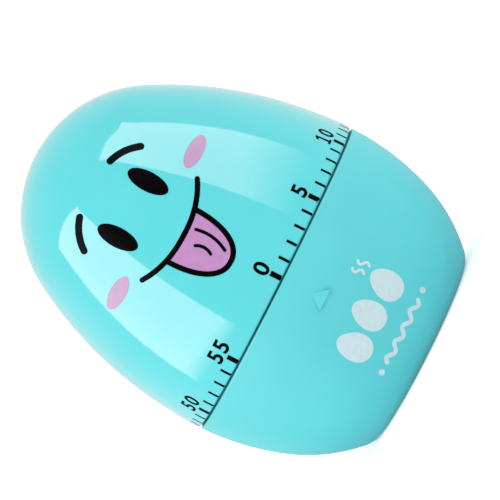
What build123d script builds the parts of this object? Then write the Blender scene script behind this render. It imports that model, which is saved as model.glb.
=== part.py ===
from build123d import *
import os
from math import acos, asin, atan2, cos, degrees, hypot, pi, radians, sin, sqrt, tan

# Mechanical egg timer: two plastic egg halves around a wind-up clockwork movement with a bell.
#
# The egg stands on its foot ring at z = 0 with its axis on +Z, and its index mark faces -Y.
# The upper half is the dial. Turning it clockwise, seen from above, winds the mainspring.
# Each function below makes one piece, or one group of identical pieces, at its place in the egg.
# Sizes are in millimetres and angles in degrees.


# ---- Egg shells -----------------------------------------------------------------------------
EGG_R = 30.0             # widest radius, in the plane of the seam
SEAM_Z = 29.0            # height of the seam above the foot
EGG_TOP = 77.2           # height of the crown
CROWN_R = 23.3           # radius of the crown arc
LOWER_SIDE_R = 47.5      # radius of the side below the seam
LOWER_TURN = 20.0        # how far that side arc turns before the tighter one
LOWER_CURL_R = 30.5      # radius of the tighter arc that runs in to the foot
WALL = 1.6               # shell thickness
SEAM_GAP = 0.36          # open line between the two halves
RIM_ROUND = 0.3          # rounding of both rims at the seam
FOOT_ROUND = 4.0         # rounding of the foot's outer edge
SHELL_CLEARANCE = 0.4    # running gap between the turning half and what stands inside it
LIP_H = 2.2              # height of the lower half's inner lip above its rim
LIP_WALL = 1.2
LIP_ROOT = 4.0           # how far the lip runs down inside the lower half

# ---- Fits -----------------------------------------------------------------------------------
FIT = 0.02               # gap of a pressed or screwed joint
RUN = 0.04               # radial gap of a shaft that turns in a hole
SEAT = 0.1               # axial gap beside a part that turns

# ---- Movement frame -------------------------------------------------------------------------
PLATE_R = 24.5
PLATE_T = 0.8
BASE_PLATE_Z = 13.0      # underside of the base plate
PILLAR_H = 13.2          # free height between the plates
PILLAR_R = 1.75
PILLAR_SPIGOT_R = 1.1
PILLAR_TIP = 0.3         # how far a pillar stands out of its nut
PILLAR_RING_R = 22.6
PILLAR_ANGLES = (75, 160, 235, 315)
NUT_R = 2.1
NUT_H = 1.3
MOVEMENT_SCREW_RING_R = 21.3
MOVEMENT_SCREW_ANGLES = (20, 142, 262)
MOVEMENT_BOSS_R = 2.4
SCREW_R = 0.95           # thread radius of the screws that hold the movement and the carrier
SCREW_HEAD_R = 1.85
SCREW_HEAD_H = 1.1
SCREW_HOLE_R = 1.1       # clearance hole for those screws
SCREW_GRIP = 5.0         # depth of their pilot holes in the plastic
SCREW_END_GAP = 0.5      # from a screw's end to the bottom of its pilot hole
CROSS_DEPTH = 0.6        # depth of a screw's cross recess
CROSS_SPAN = 0.6         # its half length, as a share of the head's radius
CROSS_WIDTH = 0.3        # its width, as a share of the head's radius
DRIVER_R = 2.5           # driver access hole in the top plate

FRAME_Z = BASE_PLATE_Z + PLATE_T         # top face of the base plate
TOP_PLATE_Z = FRAME_Z + PILLAR_H         # underside of the top plate
TOP_Z = TOP_PLATE_Z + PLATE_T            # top face of the top plate

# ---- Wheel train ----------------------------------------------------------------------------
WHEEL_TEETH = 60
PINION_TEETH = 8
GREAT_MODULE = 0.4
FINE_MODULE = 0.3
PRESSURE_ANGLE = 27.0
ADDENDUM = 0.75          # in modules
DEDENDUM = 0.95          # in modules
BACKLASH = 0.05          # taken off each tooth
FLANK_STEPS = 3
PIVOT_R = 0.4
PIVOT_END = 0.1          # how far a pivot's end stays inside its plate
ARBOR_R = 0.75
PINION_OVERHANG = 0.3    # how far a pinion stands out on each side of its wheel
WHEEL_HUB_R = 2.2
WHEEL_RIM = 1.4          # width of a wheel's rim below the pitch circle
SPOKE_W = 1.4
THIRD_RING_R = 14.0      # how far each arbor stands from the main arbor
ESCAPE_RING_R = 15.0
PALLET_RING_R = 17.5
HAMMER_RING_R = 14.5
HAMMER_REACH = 10.6      # from the second arbor to the hammer arbor
GREAT_T = 1.0
SECOND_T = 0.7
THIRD_T = 0.7
ESCAPE_T = 0.6
STRIKE_T = 0.6
GREAT_Z = FRAME_Z + 0.8
THIRD_Z = FRAME_Z + 2.4
SECOND_Z = FRAME_Z + 3.8
ESCAPE_Z = FRAME_Z + 3.9
STRIKE_Z = SECOND_Z + SECOND_T + 0.4
PALLET_Z = ESCAPE_Z + ESCAPE_T + 0.6

# ---- Escapement and balance -------------------------------------------------------------------
ESCAPE_TEETH = 15
ESCAPE_TIP_R = 5.5
ESCAPE_ROOT_R = 4.3
ESCAPE_TIP_HALF = 0.8    # half angles of a tooth at its tip and at its root
ESCAPE_ROOT_HALF = 2.5
ESCAPE_RIM = 0.9
ESCAPE_HUB_R = 1.8
PALLET_HALF_SPAN = 42.0  # three and a half tooth pitches between the two pins
PALLET_PIN_R = 0.3
PIN_OVERHANG = 0.3       # how far a pallet pin reaches below the escape wheel
PALLET_CLEARANCE = 0.08  # between a pin and the tooth tips at mid-swing
ANCHOR_T = 0.8
ANCHOR_W = 1.6
ANCHOR_HUB_R = 1.6
BALANCE_HALF = 6.0
BALANCE_T = 1.2
BALANCE_W = 1.2
BALANCE_HUB_R = 1.5
BALANCE_WEIGHT_T = 1.5
BALANCE_WEIGHT_R = 1.3
BALANCE_Z = FRAME_Z + 0.5

# ---- Main arbor, mainspring and dial stop -----------------------------------------------------
MAIN_R = 2.0
MAIN_PIVOT_R = 1.0
MAIN_PIVOT_L = 2.6
COLLAR_R = 2.9           # collar that the great wheel sits on
MAIN_FLAT = 1.45         # distance of the driving flat from the axis
HUB_TOP_GAP = 1.0        # from the arbor's end to the hub's top
HUB_R = 5.0
HUB_H = 12.0
CLUTCH_R = 4.2
CLUTCH_BOW = 0.8
CLUTCH_T = 0.25
CIRCLIP_R = 3.3
CIRCLIP_T = 0.6
CIRCLIP_GROOVE_R = 1.6
CIRCLIP_MOUTH = 2.1
SPRING_STRIP = 0.28
SPRING_W = 5.0
SPRING_HALF_TURNS = 10
SPRING_HALF_PITCH = 0.8
SPRING_Z = STRIKE_Z + STRIKE_T + 1.1
SPRING_POST_R = 0.8
HOOK_R = 0.35
HOOK_REACH = 0.8         # how far the hook stands out of the arbor
HOOK_TURN = 30.0         # from the spring's inner end to the hook
SPRING_POST_ANGLE = 200.0
SPRING_POST_TAIL = 0.6   # how far the post reaches below the spring
POST_SPIGOT_R = 0.8
BUSH_R = 3.4
BUSH_FLANGE_R = 4.4
BUSH_FLANGE_T = 0.6
BUSH_TOP = 0.5           # how far the bush stands out of the top plate
CAM_R = 8.0
CAM_T = 0.9
CAM_Z = TOP_Z + 1.1
CAM_NOTCH_DEPTH = 1.2
STOP_DISC_R = 5.0
STOP_T = 0.8
STOP_TIP_R = 10.6
STOP_POST_R = 1.2
STOP_RING_R = 9.6
STOP_ANGLE = 60.0
STOP_GAP = 0.1           # between the stop tooth and the post at each end of the travel
DIAL_TRAVEL = 24.0 * 5801 / (WHEEL_TEETH / PINION_TEETH) ** 3   # a whole number of escape teeth

# ---- Bell, hammer and release lever -------------------------------------------------------------
BELL_R = 17.5
BELL_T = 0.8
BELL_CURL_R = 5.0
BELL_HOLE_GAP = 0.1
BELL_Z = 4.8
BELL_H = 7.6
BELL_POST_R = 2.2
BELL_SPIGOT_R = 1.8
BELL_SCREW_R = 1.25
BELL_SCREW_HEAD_R = 2.8
BELL_SCREW_HEAD_H = 1.2
BELL_SCREW_GRIP = 3.6
HAMMER_ARBOR_R = 0.8
HAMMER_ARM = 8.0
HAMMER_TURN_IN = 12.0    # how far the arm points inwards from the tangent
HAMMER_HEAD_R = 1.2
HAMMER_ARM_Z = 10.4
HAMMER_ARM_T = 1.0
HAMMER_ARM_W = 1.4
HAMMER_HUB_R = 1.5
HAMMER_HEAD_H = 2.2
TAIL_HUB_R = 1.3
TAIL_HUB_H = 1.3
TAIL_NOSE_R = 0.5
TAIL_GAP = 0.15          # between the hammer's tail and the strike wheel
STRIKE_TEETH = 14
STRIKE_TIP_R = 6.5
STRIKE_ROOT_R = 5.2
STRIKE_TIP_HALF = 1.0    # half angle of a tooth's tip, then its steep and its sloping side's at the root
STRIKE_STEEP_HALF = 2.0
STRIKE_SLOPE_HALF = 11.0
LEVER_PIVOT_RING_R = 17.5
LEVER_PIVOT_ANGLE = 180.0
LEVER_NOSE_ANGLE = 140.0
LEVER_NOSE_R = 0.9
LEVER_GAP = 0.12
LEVER_POST_R = 1.1
LEVER_SHOULDER_R = 1.8
LEVER_HUB_R = 2.2
LEVER_POST_TOP = 0.5     # how far the post stands out above the lever
LEVER_DROP = 0.2         # how far the lever's top face stays below the stop tooth

# ---- Dial carrier -------------------------------------------------------------------------------
CARRIER_RISE = 2.6       # from the hub's lower end to the disc
CARRIER_T = 1.8
CARRIER_EDGE_GAP = 0.3   # from the disc's edge to the shell
CARRIER_BOSS_RING_R = 20.5
CARRIER_BOSS_R = 2.6
CARRIER_BOSS_ANGLES = (90, 210, 330)
CARRIER_BOSS_H = 16.7
RIB_T = 1.2
RIB_H = 2.4
RIB_END_R = 17.0
RIB_COUNT = 6
GUSSET_REACH = 10.0      # how far the web behind a carrier boss reaches out into the shell

HUB_GAP = 0.3            # from the stop tooth to the hub
HUB_Z = CAM_Z + CAM_T + STOP_T + HUB_GAP
CARRIER_Z = HUB_Z + CARRIER_RISE

# ---- Bottom cover -------------------------------------------------------------------------------
COVER_R = 15.4
COVER_T = 1.25
COVER_RECESS = 0.35      # how far the cover sits above the foot plane
COVER_CLEARANCE = 0.2
LEDGE_R = 11.8
LEDGE_T = 1.4
COVER_SCREW_RING_R = 13.6
COVER_SCREW_ANGLES = (30, 150, 270)
COVER_SCREW_R = 0.75
COVER_HOLE_R = 0.85
COVER_SCREW_END_GAP = 0.4
COVER_CROSS_DEPTH = 0.5
COVER_SCREW_HEAD_R = 1.6
COVER_BOSS_R = 1.8
COVER_BOSS_H = 1.4
SLOT_COUNT = 8
SLOT_W = 1.4
SLOT_INNER_R = 4.0
SLOT_OUTER_R = 10.2

# ---- Index mark ---------------------------------------------------------------------------------
INDEX_W = 4.1
INDEX_H = 2.6
INDEX_TOP_Z = 23.5
INDEX_PROUD = 0.45
INDEX_SINK = 2.0         # how deep the mark's block reaches below the surface before it is trimmed


# ---- Shared shapes ------------------------------------------------------------------------------
def ring_point(radius, angle):
    """The point on a circle about the egg's axis, as (x, y)."""
    return radius * cos(radians(angle)), radius * sin(radians(angle))


def cylinder(radius, low, high, at=(0, 0)):
    """A vertical cylinder between two heights."""
    return Pos(at[0], at[1], low) * extrude(Circle(radius), high - low)


def turned(*points):
    """The body of revolution about Z of a closed outline of (radius, height) points."""
    return revolve(Plane.XZ * make_face(Polyline(*points, close=True)), Axis.Z)


def block(left, right, low, high):
    """A rectangle between two radii and two heights of a section."""
    return Pos((left + right) / 2, (low + high) / 2) * Rectangle(right - left, high - low)


def prism(points, low, high, at=(0, 0), turn=0.0):
    """A flat piece of one outline between two heights."""
    outline = make_face(Polyline(*points, close=True))
    return Pos(at[0], at[1], low) * Rot(0, 0, turn) * extrude(outline, high - low)


def bar(start, end, width, low, high):
    """A flat link with round ends between two points."""
    length = hypot(end[0] - start[0], end[1] - start[1])
    turn = degrees(atan2(end[1] - start[1], end[0] - start[0]))
    middle = ((start[0] + end[0]) / 2, (start[1] + end[1]) / 2)
    outline = SlotCenterToCenter(length, width)
    return Pos(middle[0], middle[1], low) * Rot(0, 0, turn) * extrude(outline, high - low)


def along_ring(shape, angles):
    """Copies of a shape turned about the egg's axis, as one group."""
    return Compound(children=[Rot(0, 0, angle) * shape for angle in angles])


def bearing(start, end):
    """The direction from one point to another."""
    return degrees(atan2(end[1] - start[1], end[0] - start[0]))


def swing_between(ring_a, ring_b, reach):
    """The angle at the axis between two arbors that stand reach apart."""
    return degrees(acos((ring_a**2 + ring_b**2 - reach**2) / (2 * ring_a * ring_b)))


# ---- Egg outline --------------------------------------------------------------------------------
def egg_radius(z):
    """The egg's outer radius at a height."""
    if z >= SEAM_Z:
        centre_x, side_r, lean = upper_side()
        if z <= SEAM_Z + side_r * sin(radians(lean)):
            return centre_x + sqrt(side_r**2 - (z - SEAM_Z) ** 2)
        return sqrt(CROWN_R**2 - (z - EGG_TOP + CROWN_R) ** 2)
    centre_x = EGG_R - LOWER_SIDE_R
    if SEAM_Z - z <= LOWER_SIDE_R * sin(radians(LOWER_TURN)):
        return centre_x + sqrt(LOWER_SIDE_R**2 - (SEAM_Z - z) ** 2)
    curl_x, curl_z = lower_curl_centre()
    return curl_x + sqrt(LOWER_CURL_R**2 - (curl_z - z) ** 2)


def upper_side():
    """The side arc that runs tangent from the seam into the crown: centre, radius and turn."""
    rise = EGG_TOP - CROWN_R - SEAM_Z
    side_r = (EGG_R**2 + rise**2 - CROWN_R**2) / (2 * (EGG_R - CROWN_R))
    centre_x = EGG_R - side_r
    return centre_x, side_r, degrees(atan2(rise, -centre_x))


def lower_curl_centre():
    """The centre of the tighter arc below the lower side arc."""
    step = LOWER_SIDE_R - LOWER_CURL_R
    turn = radians(LOWER_TURN)
    return EGG_R - LOWER_SIDE_R + step * cos(turn), SEAM_Z - step * sin(turn)


def spun(section):
    """The body of revolution about Z of a section drawn as (radius, height)."""
    return revolve(Plane.XZ * section, Axis.Z)


def upper_section(inset, floor):
    """Half the upper egg's section above a floor height, moved in from the surface by inset."""
    centre_x, side_r, lean = upper_side()
    side_r -= inset
    start = degrees(asin((floor - SEAM_Z) / side_r))
    side = CenterArc((centre_x, SEAM_Z), side_r, start, lean - start)
    crown = CenterArc((0, EGG_TOP - CROWN_R), CROWN_R - inset, lean, 90 - lean)
    axis = Line(crown @ 1, (0, floor))
    base = Line((0, floor), side @ 0)
    return make_face([side, crown, axis, base])


def lower_section(inset, floor, rim):
    """Half the lower egg's section between two heights, moved in from the surface by inset."""
    curl_x, curl_z = lower_curl_centre()
    side_r = LOWER_SIDE_R - inset
    curl_r = LOWER_CURL_R - inset
    start = degrees(asin((SEAM_Z - rim) / side_r))
    end = degrees(asin((curl_z - floor) / curl_r))
    side = CenterArc((EGG_R - LOWER_SIDE_R, SEAM_Z), side_r, -start, start - LOWER_TURN)
    curl = CenterArc((curl_x, curl_z), curl_r, -LOWER_TURN, LOWER_TURN - end)
    base = Line(curl @ 1, (0, floor))
    axis = Line((0, floor), (0, rim))
    top = Line((0, rim), side @ 0)
    return make_face([side, curl, base, axis, top])


# ---- Gears --------------------------------------------------------------------------------------
def involute(angle):
    return tan(angle) - angle


def gear_outline(teeth, module):
    """The points of an involute gear whose first tooth is centred on +X."""
    pitch_r = teeth * module / 2
    base_r = pitch_r * cos(radians(PRESSURE_ANGLE))
    tip_r = pitch_r + ADDENDUM * module
    root_r = pitch_r - DEDENDUM * module
    half_tooth = (pi * module / 2 - BACKLASH) / (2 * pitch_r) + involute(radians(PRESSURE_ANGLE))
    start_r = max(base_r, root_r)
    flank = [start_r + (tip_r - start_r) * step / (FLANK_STEPS - 1) for step in range(FLANK_STEPS)]
    side = [(r, half_tooth - involute(acos(min(1.0, base_r / r)))) for r in flank]
    if root_r < base_r:
        side.insert(0, (root_r, half_tooth))
    tooth = [(r, -half) for r, half in side] + [(r, half) for r, half in reversed(side)]
    pitch = 2 * pi / teeth
    return [
        (r * cos(pitch * number + half), r * sin(pitch * number + half))
        for number in range(teeth)
        for r, half in tooth
    ]


def mesh_phase(phase, teeth, mate_teeth, direction):
    """The mate's tooth angle, so that it meshes with a gear whose tooth stands at phase."""
    return direction + 180 + 180 / mate_teeth - (phase - direction) * teeth / mate_teeth


def wheel(outline, turn, at, low, thickness, bore, rim_r, hub_r, spokes=4):
    """A toothed wheel with a bore and windows between its spokes."""
    blank = prism(outline, low, low + thickness, at, turn)
    web = Circle(rim_r) - Circle(hub_r)
    for number in range(spokes):
        web -= Rot(0, 0, 360 * number / spokes) * Pos(rim_r / 2, 0) * Rectangle(rim_r, SPOKE_W)
    windows = Pos(at[0], at[1], low) * extrude(web, thickness)
    return blank - windows - cylinder(bore, low, low + thickness, at)


def arbor(at, steps):
    """A shaft of (low, high, radius) steps."""
    return Part() + [cylinder(radius, low, high, at) for low, high, radius in steps]


def pinion(at, module, phase, mate_z, mate_t):
    """Pinion leaves that stand out a little on both sides of the wheel they mesh with."""
    outline = gear_outline(PINION_TEETH, module)
    return prism(outline, mate_z - PINION_OVERHANG, mate_z + mate_t + PINION_OVERHANG, at, phase)


def saw_outline(teeth, tip_r, root_r, tip_half, front_half, back_half):
    """The points of a wheel with pointed teeth, the first centred on +X."""
    tooth = ((root_r, -front_half), (tip_r, -tip_half), (tip_r, tip_half), (root_r, back_half))
    pitch = 360 / teeth
    return [ring_point(r, pitch * number + half) for number in range(teeth) for r, half in tooth]


# ---- Where the arbors stand -----------------------------------------------------------------------
GREAT_REACH = GREAT_MODULE * (WHEEL_TEETH + PINION_TEETH) / 2
FINE_REACH = FINE_MODULE * (WHEEL_TEETH + PINION_TEETH) / 2
PALLET_REACH = ESCAPE_TIP_R / cos(radians(PALLET_HALF_SPAN))
SECOND_ANGLE = 0.0
THIRD_ANGLE = SECOND_ANGLE + swing_between(GREAT_REACH, THIRD_RING_R, FINE_REACH)
ESCAPE_ANGLE = THIRD_ANGLE + swing_between(THIRD_RING_R, ESCAPE_RING_R, FINE_REACH)
PALLET_ANGLE = ESCAPE_ANGLE + swing_between(ESCAPE_RING_R, PALLET_RING_R, PALLET_REACH)
HAMMER_ANGLE = SECOND_ANGLE - swing_between(GREAT_REACH, HAMMER_RING_R, HAMMER_REACH)
MAIN = (0.0, 0.0)
SECOND = ring_point(GREAT_REACH, SECOND_ANGLE)
THIRD = ring_point(THIRD_RING_R, THIRD_ANGLE)
ESCAPE = ring_point(ESCAPE_RING_R, ESCAPE_ANGLE)
PALLET = ring_point(PALLET_RING_R, PALLET_ANGLE)
HAMMER = ring_point(HAMMER_RING_R, HAMMER_ANGLE)
LEVER = ring_point(LEVER_PIVOT_RING_R, LEVER_PIVOT_ANGLE)
SPRING_END_R = MAIN_R + SPRING_STRIP / 4 + SPRING_HALF_TURNS * SPRING_HALF_PITCH
SPRING_POST = ring_point(SPRING_END_R + SPRING_POST_R + 2 * RUN + SPRING_STRIP, SPRING_POST_ANGLE)
STOP_POST = ring_point(STOP_RING_R, STOP_ANGLE)


# ---- Shells ---------------------------------------------------------------------------------------
def upper_shell():
    """The dial half, with three bosses inside it for the carrier's screws."""
    rim_z = SEAM_Z + SEAM_GAP / 2
    section = upper_section(0, rim_z) - upper_section(WALL, rim_z)
    section = fillet(section.vertices().sort_by(Axis.X)[-1], RIM_ROUND)
    shell = spun(section)
    boss_low = CARRIER_Z + CARRIER_T
    pilot_top = boss_low + SCREW_GRIP
    boss_top = boss_low + CARRIER_BOSS_H
    boss = cylinder(CARRIER_BOSS_R, boss_low, boss_top, (CARRIER_BOSS_RING_R, 0))
    gusset_at = (CARRIER_BOSS_RING_R + GUSSET_REACH / 2, 0, (pilot_top + boss_top) / 2)
    boss += Pos(*gusset_at) * Box(GUSSET_REACH, RIB_T, boss_top - pilot_top)
    boss &= spun(upper_section(WALL / 2, rim_z))
    boss -= cylinder(SCREW_R + FIT, boss_low, pilot_top, (CARRIER_BOSS_RING_R, 0))
    for angle in CARRIER_BOSS_ANGLES:
        shell += Rot(0, 0, angle) * boss
    return shell


def index_mark():
    """A wedge-shaped arrow that rises from the surface towards its lower edge."""
    low_z = INDEX_TOP_Z - INDEX_H
    top_y = -egg_radius(INDEX_TOP_Z)
    low_y = -egg_radius(low_z) - INDEX_PROUD
    triangle = make_face(
        Polyline((0, INDEX_TOP_Z), (-INDEX_W / 2, low_z), (INDEX_W / 2, low_z), close=True)
    )
    wedge = extrude(Plane.XZ * triangle, EGG_R + 1)
    wedge -= cylinder(-top_y - INDEX_SINK, low_z, INDEX_TOP_Z)
    slope = (low_y - top_y) / INDEX_H
    keep = Polyline(
        (top_y - slope * INDEX_H, INDEX_TOP_Z + INDEX_H),
        (low_y + slope * INDEX_H, low_z - INDEX_H),
        (0, low_z - INDEX_H),
        (0, INDEX_TOP_Z + INDEX_H),
        close=True,
    )
    return wedge & extrude(Plane.YZ * make_face(keep), INDEX_W, both=True)


def lower_shell():
    """The standing half: its lip, its cover seat and the bosses that carry the movement."""
    rim_z = SEAM_Z - SEAM_GAP / 2
    seat_z = COVER_RECESS + COVER_T
    floor_z = seat_z + LEDGE_T
    root_z = rim_z - LIP_ROOT
    lip_r = EGG_R - WALL - SHELL_CLEARANCE
    lip_bore = lip_r - LIP_WALL
    section = lower_section(0, 0, rim_z) - lower_section(WALL, floor_z, rim_z)
    section += lower_section(WALL / 2, root_z, rim_z) - block(0, lip_bore, root_z, rim_z)
    section += block(lip_bore, lip_r, root_z, rim_z + LIP_H)
    corners = section.vertices()
    foot = corners.group_by(Axis.Y)[0].sort_by(Axis.X)[-1]
    section = fillet(foot, FOOT_ROUND)
    section = fillet(section.vertices().sort_by(Axis.X)[-1], RIM_ROUND)
    shell = spun(section)
    boss_at = (MOVEMENT_SCREW_RING_R, 0)
    boss = cylinder(MOVEMENT_BOSS_R, floor_z - WALL / 2, BASE_PLATE_Z, boss_at)
    boss &= spun(lower_section(WALL / 2, floor_z - WALL / 2, rim_z))
    boss -= cylinder(SCREW_R + FIT, BASE_PLATE_Z - SCREW_GRIP, BASE_PLATE_Z, boss_at)
    cover_at = (COVER_SCREW_RING_R, 0)
    cover_boss = cylinder(COVER_BOSS_R, floor_z - LEDGE_T, floor_z + COVER_BOSS_H, cover_at)
    for angle in MOVEMENT_SCREW_ANGLES:
        shell += Rot(0, 0, angle) * boss
    for angle in COVER_SCREW_ANGLES:
        shell += Rot(0, 0, angle) * cover_boss
    pilot = cylinder(COVER_SCREW_R + FIT, seat_z, floor_z + COVER_BOSS_H, cover_at)
    for angle in COVER_SCREW_ANGLES:
        shell -= Rot(0, 0, angle) * pilot
    shell -= cylinder(COVER_R + COVER_CLEARANCE, 0, seat_z)
    shell -= cylinder(LEDGE_R, 0, floor_z)
    return shell + index_mark()


def bottom_cover():
    """The disc in the foot, with slots that let the bell's sound out."""
    low, high = COVER_RECESS, COVER_RECESS + COVER_T
    slot_mid = (SLOT_INNER_R + SLOT_OUTER_R) / 2
    cover = Circle(COVER_R)
    for number in range(SLOT_COUNT):
        slot = SlotOverall(SLOT_OUTER_R - SLOT_INNER_R, SLOT_W)
        cover -= Rot(0, 0, 360 * (number + 0.5) / SLOT_COUNT) * Pos(slot_mid, 0) * slot
    cover = Pos(0, 0, low) * extrude(cover, COVER_T)
    for angle in COVER_SCREW_ANGLES:
        at = ring_point(COVER_SCREW_RING_R, angle)
        sink = Pos(at[0], at[1]) * turned(*cover_screw_head(FIT))
        cover -= cylinder(COVER_HOLE_R, low, high, at) + sink
    return cover


def cover_screw_head(gap):
    """The outline of a countersunk head flush with the cover's outer face."""
    low = COVER_RECESS
    height = COVER_SCREW_HEAD_R - COVER_SCREW_R
    return (
        (0, low),
        (COVER_SCREW_HEAD_R + gap, low),
        (COVER_SCREW_R + gap, low + height),
        (0, low + height),
    )


def cross_slot(radius, depth, low):
    """The recess of a cross-head screw."""
    arm = extrude(Rectangle(2 * radius * CROSS_SPAN, radius * CROSS_WIDTH), depth)
    return Pos(0, 0, low) * (arm + Rot(0, 0, 90) * arm)


def bottom_cover_screws():
    length = COVER_T + LEDGE_T + COVER_BOSS_H - COVER_SCREW_END_GAP
    screw = turned(*cover_screw_head(0))
    screw += cylinder(COVER_SCREW_R, COVER_RECESS, COVER_RECESS + length)
    screw -= cross_slot(COVER_SCREW_HEAD_R, COVER_CROSS_DEPTH, COVER_RECESS)
    return along_ring(Pos(COVER_SCREW_RING_R, 0) * screw, COVER_SCREW_ANGLES)


# ---- Movement frame -------------------------------------------------------------------------------
def train_pivots():
    return (SECOND, THIRD, ESCAPE, PALLET)


def base_plate():
    """The lower plate, which the bell post, the pillars and the arbors' lower pivots go through."""
    low, high = BASE_PLATE_Z, FRAME_Z
    plate = cylinder(PLATE_R, low, high) - cylinder(BELL_SPIGOT_R + FIT, low, high)
    for at in train_pivots():
        plate -= cylinder(PIVOT_R + RUN, low, high, at)
    plate -= cylinder(HAMMER_ARBOR_R + RUN, low, high, HAMMER)
    for angle in PILLAR_ANGLES:
        plate -= cylinder(PILLAR_SPIGOT_R + FIT, low, high, ring_point(PILLAR_RING_R, angle))
    for angle in MOVEMENT_SCREW_ANGLES:
        plate -= cylinder(SCREW_HOLE_R, low, high, ring_point(MOVEMENT_SCREW_RING_R, angle))
    return plate


def top_plate():
    """The upper plate, with driver holes above the screws that hold the movement down."""
    low, high = TOP_PLATE_Z, TOP_Z
    plate = cylinder(PLATE_R, low, high) - cylinder(BUSH_R + FIT, low, high)
    for at in (*train_pivots(), HAMMER):
        plate -= cylinder(PIVOT_R + RUN, low, high, at)
    for at, radius in ((SPRING_POST, SPRING_POST_R), (STOP_POST, POST_SPIGOT_R), (LEVER, POST_SPIGOT_R)):
        plate -= cylinder(radius + FIT, low, high, at)
    for angle in PILLAR_ANGLES:
        plate -= cylinder(PILLAR_SPIGOT_R + FIT, low, high, ring_point(PILLAR_RING_R, angle))
    for angle in MOVEMENT_SCREW_ANGLES:
        plate -= cylinder(DRIVER_R, low, high, ring_point(MOVEMENT_SCREW_RING_R, angle))
    return plate


def plate_pillars():
    pillar = arbor(
        (PILLAR_RING_R, 0),
        (
            (BASE_PLATE_Z, FRAME_Z, PILLAR_SPIGOT_R),
            (FRAME_Z, TOP_PLATE_Z, PILLAR_R),
            (TOP_PLATE_Z, TOP_Z + NUT_H + PILLAR_TIP, PILLAR_SPIGOT_R),
        ),
    )
    return along_ring(pillar, PILLAR_ANGLES)


def pillar_nuts():
    nut = RegularPolygon(NUT_R, 6) - Circle(PILLAR_SPIGOT_R + FIT)
    return along_ring(Pos(PILLAR_RING_R, 0, TOP_Z) * extrude(nut, NUT_H), PILLAR_ANGLES)


def pan_screw(shoulder_z, length, up=True):
    """A pan-head screw on the axis: its head sits above shoulder_z, or below it if up is False."""
    side = 1 if up else -1
    crown = SCREW_HEAD_H / 3
    screw = turned(
        (0, shoulder_z),
        (SCREW_HEAD_R, shoulder_z),
        (SCREW_HEAD_R, shoulder_z + side * (SCREW_HEAD_H - crown)),
        (SCREW_HEAD_R - crown, shoulder_z + side * SCREW_HEAD_H),
        (0, shoulder_z + side * SCREW_HEAD_H),
    )
    far = shoulder_z - side * length
    screw += cylinder(SCREW_R, min(shoulder_z, far), max(shoulder_z, far))
    slot_low = shoulder_z + SCREW_HEAD_H - CROSS_DEPTH if up else shoulder_z - SCREW_HEAD_H
    return screw - cross_slot(SCREW_HEAD_R, CROSS_DEPTH, slot_low)


def movement_screws():
    screw = pan_screw(FRAME_Z, PLATE_T + SCREW_GRIP - SCREW_END_GAP)
    return along_ring(Pos(MOVEMENT_SCREW_RING_R, 0) * screw, MOVEMENT_SCREW_ANGLES)


def main_bush():
    """The flanged bearing of the main arbor in the top plate."""
    bore = MAIN_R + RUN
    return turned(
        (bore, TOP_PLATE_Z - BUSH_FLANGE_T),
        (BUSH_FLANGE_R, TOP_PLATE_Z - BUSH_FLANGE_T),
        (BUSH_FLANGE_R, TOP_PLATE_Z),
        (BUSH_R, TOP_PLATE_Z),
        (BUSH_R, TOP_Z + BUSH_TOP),
        (bore, TOP_Z + BUSH_TOP),
    )


def spring_post():
    """The post under the top plate that holds the mainspring's outer end."""
    return cylinder(SPRING_POST_R, SPRING_Z - SPRING_POST_TAIL, TOP_Z, SPRING_POST)


def stop_post():
    """The post that the dial's stop tooth meets at both ends of its travel."""
    return arbor(
        STOP_POST,
        ((TOP_PLATE_Z, TOP_Z, POST_SPIGOT_R), (TOP_Z, CAM_Z + CAM_T + STOP_T, STOP_POST_R)),
    )


# ---- Main arbor and what turns with the dial --------------------------------------------------------
def main_arbor():
    """The winding shaft: its pivot, the collar under the great wheel, the hook and the flat."""
    groove_z = circlip_z()
    end_z = HUB_Z + HUB_H - HUB_TOP_GAP
    shaft = arbor(
        MAIN,
        (
            (FRAME_Z - MAIN_PIVOT_L, FRAME_Z + SEAT, MAIN_PIVOT_R),
            (FRAME_Z + SEAT, GREAT_Z, COLLAR_R),
            (GREAT_Z, groove_z, MAIN_R),
            (groove_z, groove_z + CIRCLIP_T, CIRCLIP_GROOVE_R),
            (groove_z + CIRCLIP_T, CAM_Z - SEAT, MAIN_R),
        ),
    )
    shaft += Pos(0, 0, CAM_Z - SEAT) * extrude(d_section(0), end_z - CAM_Z + SEAT)
    return shaft + spring_hook(HOOK_R)


def circlip_z():
    return GREAT_Z + GREAT_T + CLUTCH_BOW + CLUTCH_T


def d_section(gap):
    """The cross-section of the shaft's flatted end, larger by gap."""
    keep = block(-2 * MAIN_R, MAIN_FLAT + gap, -2 * MAIN_R, 2 * MAIN_R)
    return Circle(MAIN_R + gap) & keep


def great_wheel():
    outline = gear_outline(WHEEL_TEETH, GREAT_MODULE)
    rim_r = WHEEL_TEETH * GREAT_MODULE / 2 - WHEEL_RIM
    return wheel(outline, 0, MAIN, GREAT_Z, GREAT_T, MAIN_R + RUN, rim_r, CLUTCH_R + FIT, 5)


def clutch_spring():
    """A bowed washer that presses the great wheel on the arbor's collar, so that it can slip."""
    low = GREAT_Z + GREAT_T
    inner = MAIN_R + RUN
    return turned(
        (inner, low + CLUTCH_BOW),
        (CLUTCH_R, low),
        (CLUTCH_R, low + CLUTCH_T),
        (inner, low + CLUTCH_BOW + CLUTCH_T),
    )


def circlip():
    """The clip in the arbor's groove that holds the clutch spring down."""
    low = circlip_z()
    ring = Circle(CIRCLIP_R) - Circle(CIRCLIP_GROOVE_R + FIT)
    mouth = Pos(CIRCLIP_R, 0) * Rectangle(2 * CIRCLIP_R, CIRCLIP_MOUTH)
    return Pos(0, 0, low) * extrude(ring - mouth, CIRCLIP_T)


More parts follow.
